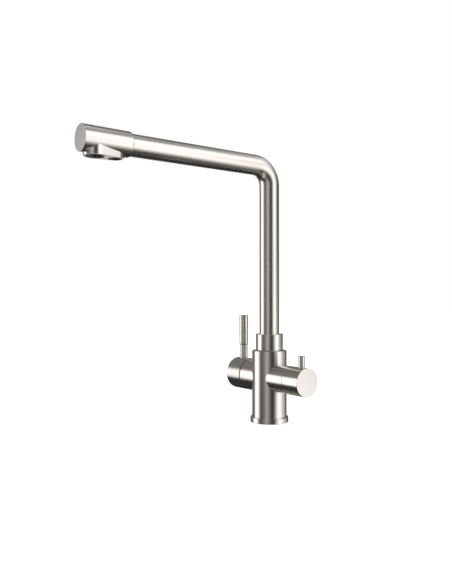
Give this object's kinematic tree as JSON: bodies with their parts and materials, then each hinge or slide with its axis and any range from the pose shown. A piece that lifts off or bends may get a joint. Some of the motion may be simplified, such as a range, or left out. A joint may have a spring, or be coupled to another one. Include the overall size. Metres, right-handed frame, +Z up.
{
  "type": "drinking water filter tap",
  "caption": "Three-way kitchen tap in brushed nickel with a swivelling L spout, a twin outlet, a lever mixer valve and a quarter-turn filtered water valve.",
  "frame": {"origin": "centre of the base's underside, where the tap stands on the worktop", "axes": "+Z up along the body and the spout's swivel axis, spout towards -Y, mixer valve on -X, filter valve on +X"},
  "size_m": [0.139, 0.2918, 0.3522],
  "materials": {
    "brushed_nickel": "satin brushed nickel plate",
    "plain_brass": "machined brass",
    "bright_steel": "plain stainless steel",
    "black_rubber": "matt black rubber",
    "dark_plastic": "dark grey moulded plastic",
    "pale_plastic": "natural white moulded plastic",
    "white_ceramic": "polished white ceramic"
  },
  "bodies": {
    "tap": {"tap_body": "brushed_nickel", "base_ring": "brushed_nickel", "foot_seal": "black_rubber", "cartridge_port_seals": "black_rubber", "filter_seat_washer": "black_rubber", "cartridge_nut": "plain_brass", "filter_valve_body": "plain_brass", "hose_nipple": "plain_brass", "mixer_cartridge_housing": "dark_plastic", "mixer_slip_ring": "dark_plastic", "mixer_cartridge_base": "pale_plastic", "mixer_fixed_disc": "white_ceramic", "filter_fixed_disc": "white_ceramic", "spout_retaining_screw": "bright_steel"},
    "spout": {"spout_collar": "brushed_nickel", "spout_tube": "brushed_nickel", "spout_head": "brushed_nickel", "spout_end_cap": "brushed_nickel", "outlet_block": "brushed_nickel", "swivel_spigot": "plain_brass", "hose_swivel_sleeve": "plain_brass", "hose_head_nipple": "plain_brass", "swivel_o_rings": "black_rubber", "hose_swivel_o_ring": "black_rubber", "main_aerator_washer": "black_rubber", "filter_aerator_washer": "black_rubber", "swivel_washer": "pale_plastic", "filter_hose": "pale_plastic", "main_aerator_housing": "dark_plastic", "main_aerator_insert": "dark_plastic", "filter_aerator_housing": "dark_plastic", "filter_aerator_insert": "dark_plastic", "hose_ferrules": "bright_steel"},
    "mixer_handle": {"mixer_handle_cap": "brushed_nickel", "mixer_lever_rod": "brushed_nickel", "mixer_lever_grip": "brushed_nickel", "lever_seam_ring": "black_rubber", "mixer_stem_o_ring": "black_rubber", "mixer_stem": "plain_brass", "mixer_moving_disc": "white_ceramic", "mixer_grub_screw": "bright_steel", "mixer_screw_plug": "dark_plastic"},
    "filter_handle": {"filter_handle_cap": "brushed_nickel", "filter_lever_pin": "brushed_nickel", "filter_spindle": "plain_brass", "filter_spindle_o_rings": "black_rubber", "filter_moving_disc": "white_ceramic", "filter_grub_screw": "bright_steel", "spindle_circlip": "bright_steel", "filter_screw_plug": "dark_plastic"}
  },
  "joints": [
    {"name": "spout_swivel", "type": "hinge", "parent": "tap", "child": "spout", "pos_m": [0, 0, 0.094], "axis": [0, 0, 1], "continuous": true},
    {"name": "mixer_turn", "type": "hinge", "parent": "tap", "child": "mixer_handle", "pos_m": [-0.0375, 0, 0.0585], "axis": [1, 0, 0], "range_deg": [0, 100]},
    {"name": "filter_turn", "type": "hinge", "parent": "tap", "child": "filter_handle", "pos_m": [0.0445, 0, 0.0585], "axis": [1, 0, 0], "range_deg": [0, 90]}
  ]
}
